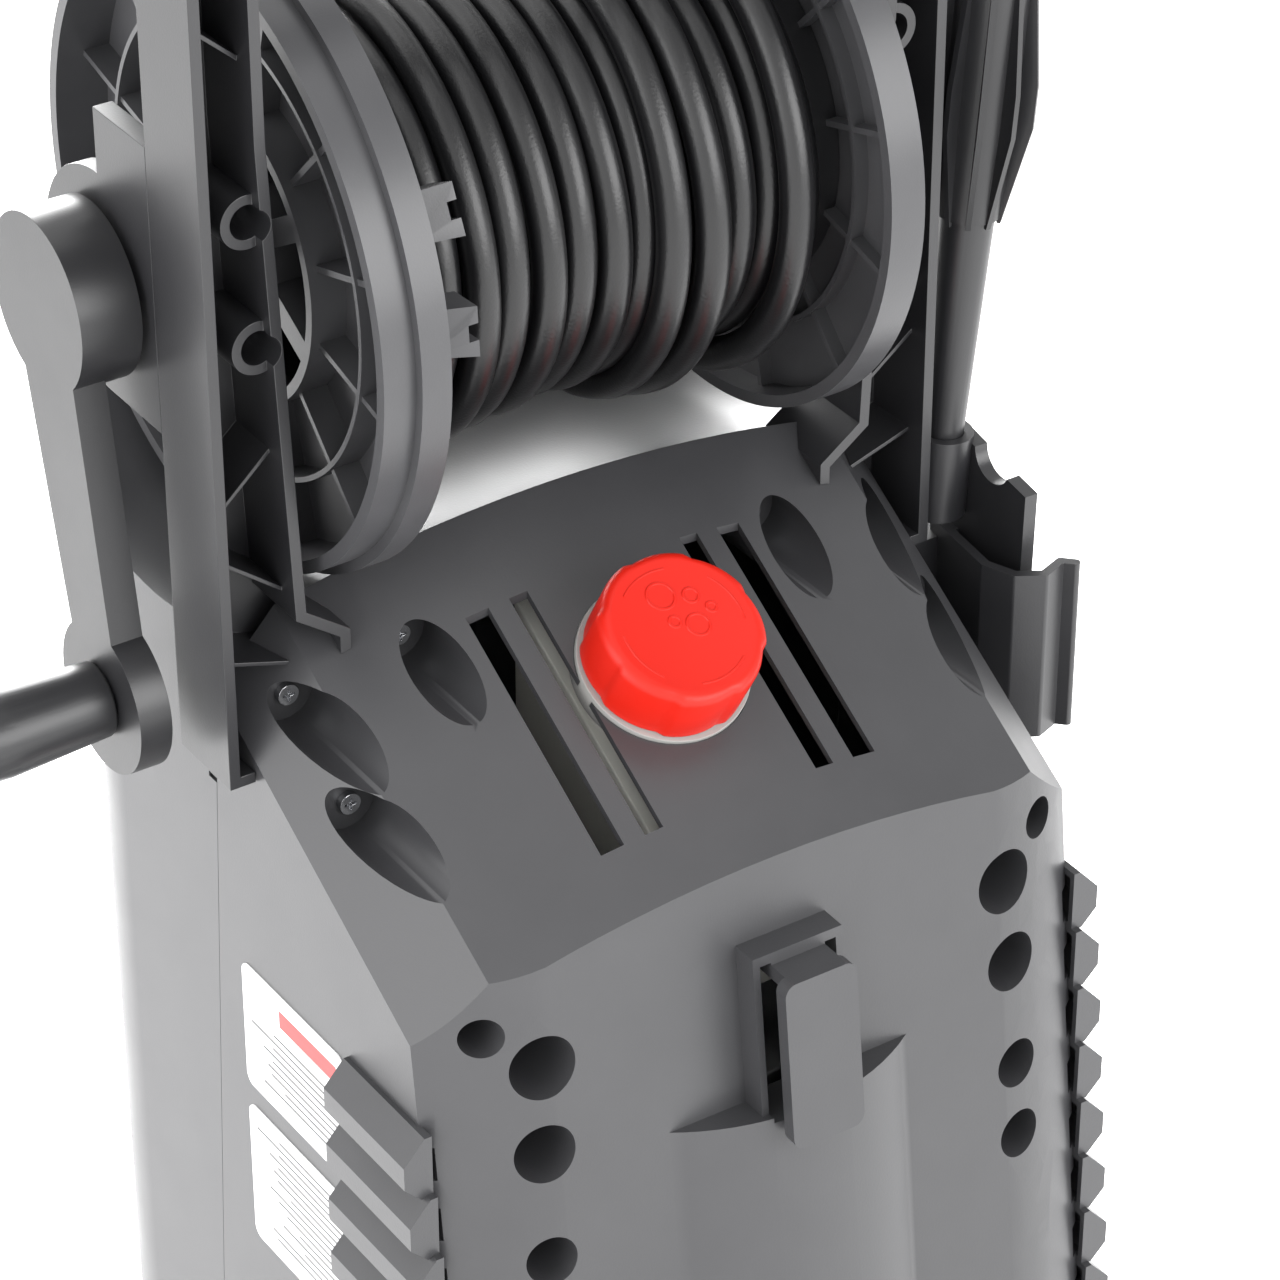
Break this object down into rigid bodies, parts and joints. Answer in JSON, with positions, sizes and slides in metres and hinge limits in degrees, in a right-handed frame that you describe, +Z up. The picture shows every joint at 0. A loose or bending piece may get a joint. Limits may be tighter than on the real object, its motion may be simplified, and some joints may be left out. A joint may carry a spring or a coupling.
{
  "type": "pressure washer",
  "caption": "Upright electric pressure washer: moulded body on two wheels, wound hose on a cranked reel between two uprights, soap filler cap, cord hooks and lance holder.",
  "frame": {"origin": "on the floor, under the middle of the outer box's footprint", "axes": "+Z up, +Y towards the operator (the side with the sloping panel and cord hooks), +X to the operator's left (crank side)"},
  "size_m": [0.4774, 0.3996, 0.917],
  "materials": {
    "body_plastic": "satin moulded",
    "frame_plastic": "satin moulded",
    "pan_plastic": "matt moulded",
    "reel_plastic": "satin moulded",
    "hose_rubber": "satin",
    "cap_plastic": "semi gloss",
    "collar_plastic": "satin",
    "tank_plastic": "translucent white",
    "label_film": "printed film",
    "steel": "turned",
    "zinc_steel": "bright zinc",
    "brass": "machined",
    "aluminium": "die cast",
    "lamination_steel": "stamped",
    "black_plastic": "satin",
    "grip_rubber": "matt",
    "tyre_plastic": "matt",
    "foot_rubber": "matt"
  },
  "bodies": {
    "machine": {"rear_cover": "body_plastic", "front_cover": "body_plastic", "base_pan": "pan_plastic", "front_feet": "foot_rubber", "left_upright": "frame_plastic", "right_upright": "frame_plastic", "left_reel_bracket": "frame_plastic", "right_reel_bracket": "frame_plastic", "handle_front_shell": "frame_plastic", "handle_rear_shell": "frame_plastic", "reel_swivel": "brass", "reel_feed_hose": "hose_rubber", "right_holster": "frame_plastic", "lower_cord_hook": "frame_plastic", "detergent_tank": "tank_plastic", "filler_collar": "collar_plastic", "rating_label": "label_film", "notice_label": "label_film", "motor_casing": "lamination_steel", "motor_end_cap": "aluminium", "pump_case": "aluminium", "pump_pistons": "zinc_steel", "pump_head": "brass", "water_inlet": "brass", "water_outlet": "brass", "switch_box": "black_plastic", "cord_gland": "grip_rubber", "capacitor": "black_plastic", "left_hub_cap": "black_plastic", "right_hub_cap": "black_plastic", "wheel_axle": "zinc_steel", "cover_screws": "zinc_steel", "upright_screws": "zinc_steel"},
    "hose_reel": {"reel_left_flange": "reel_plastic", "reel_right_flange": "reel_plastic", "reel_drum": "reel_plastic", "reel_axle": "steel", "hose_coil": "hose_rubber", "hose_connector": "brass", "crank_arm": "black_plastic", "crank_grip_pin": "zinc_steel"},
    "crank_handle": {"crank_grip": "black_plastic"},
    "left_wheel": {"left_tyre": "tyre_plastic", "left_wheel_hub": "frame_plastic"},
    "right_wheel": {"right_tyre": "tyre_plastic", "right_wheel_hub": "frame_plastic"},
    "motor_spindle": {"motor_shaft": "steel", "motor_rotor": "lamination_steel", "cooling_fan": "black_plastic", "wobble_plate": "steel"},
    "filler_cap": {"soap_cap": "cap_plastic"},
    "power_switch": {"switch_knob": "cap_plastic"},
    "lance": {"spray_lance": "black_plastic", "lance_sleeve": "black_plastic"}
  },
  "joints": [
    {"name": "reel_spin", "type": "hinge", "parent": "machine", "child": "hose_reel", "pos_m": [-0.03528, -0.0735, 0.673], "axis": [1, 0, 0], "continuous": true},
    {"name": "crank_grip_spin", "type": "hinge", "parent": "hose_reel", "child": "crank_handle", "pos_m": [0.15472, -0.04412, 0.52183], "axis": [1, 0, 0], "continuous": true},
    {"name": "left_wheel_spin", "type": "hinge", "parent": "machine", "child": "left_wheel", "pos_m": [0.13372, 0.1095, 0.085], "axis": [1, 0, 0], "continuous": true},
    {"name": "right_wheel_spin", "type": "hinge", "parent": "machine", "child": "right_wheel", "pos_m": [-0.20428, 0.1095, 0.085], "axis": [1, 0, 0], "continuous": true},
    {"name": "motor_spin", "type": "hinge", "parent": "machine", "child": "motor_spindle", "pos_m": [-0.03528, 0.0595, 0.28], "axis": [0, 0, 1], "continuous": true},
    {"name": "soap_cap_lift", "type": "slide", "parent": "machine", "child": "filler_cap", "axis": [0, 0.5075, 0.8616], "range_m": [0, 0.04]},
    {"name": "switch_turn", "type": "hinge", "parent": "machine", "child": "power_switch", "pos_m": [-0.03528, -0.1775, 0.44], "axis": [0, -1, 0], "range_deg": [0, 90]},
    {"name": "lance_lift", "type": "slide", "parent": "machine", "child": "lance", "axis": [-0.0582, 0.0277, 0.9979], "range_m": [0, 0.12]}
  ]
}
